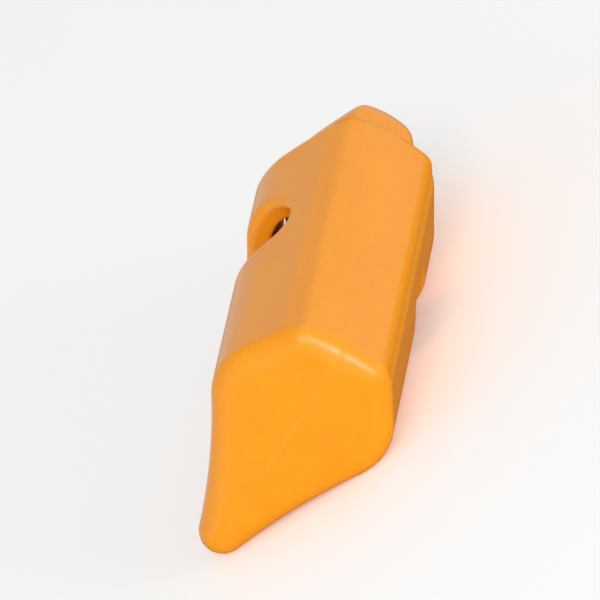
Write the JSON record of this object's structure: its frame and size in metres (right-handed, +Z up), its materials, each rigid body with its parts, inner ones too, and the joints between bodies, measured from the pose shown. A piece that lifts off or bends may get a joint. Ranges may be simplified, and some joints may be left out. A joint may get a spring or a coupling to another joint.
{
  "type": "cord lock",
  "caption": "Push-button cord lock: a shield-shaped plastic barrel with an oblong cord passage, a sprung plunger that clamps the cords, and a coil spring.",
  "frame": {"origin": "on the surface that the lock lies on, under the centre of the whole lock's box at rest", "axes": "+X along the plunger's travel, from the closed end to the button; +Z up, with the lock lying on one flank of its shield-shaped section; +Y towards the nose of the section"},
  "size_m": [0.024, 0.013, 0.0085],
  "materials": {
    "barrel_plastic": "glossy orange injection moulding",
    "plunger_plastic": "glossy orange injection moulding",
    "spring_wire": "bright drawn spring wire"
  },
  "bodies": {
    "barrel": {"barrel": "barrel_plastic", "spring": "spring_wire"},
    "plunger": {"plunger": "plunger_plastic"}
  },
  "joints": [
    {"name": "button_press", "type": "slide", "parent": "barrel", "child": "plunger", "axis": [1, 0, 0], "range_m": [-0.0038, 0], "stiffness_N_per_m": 900, "springref_m": 0.0035, "deforming": ["spring"]}
  ]
}
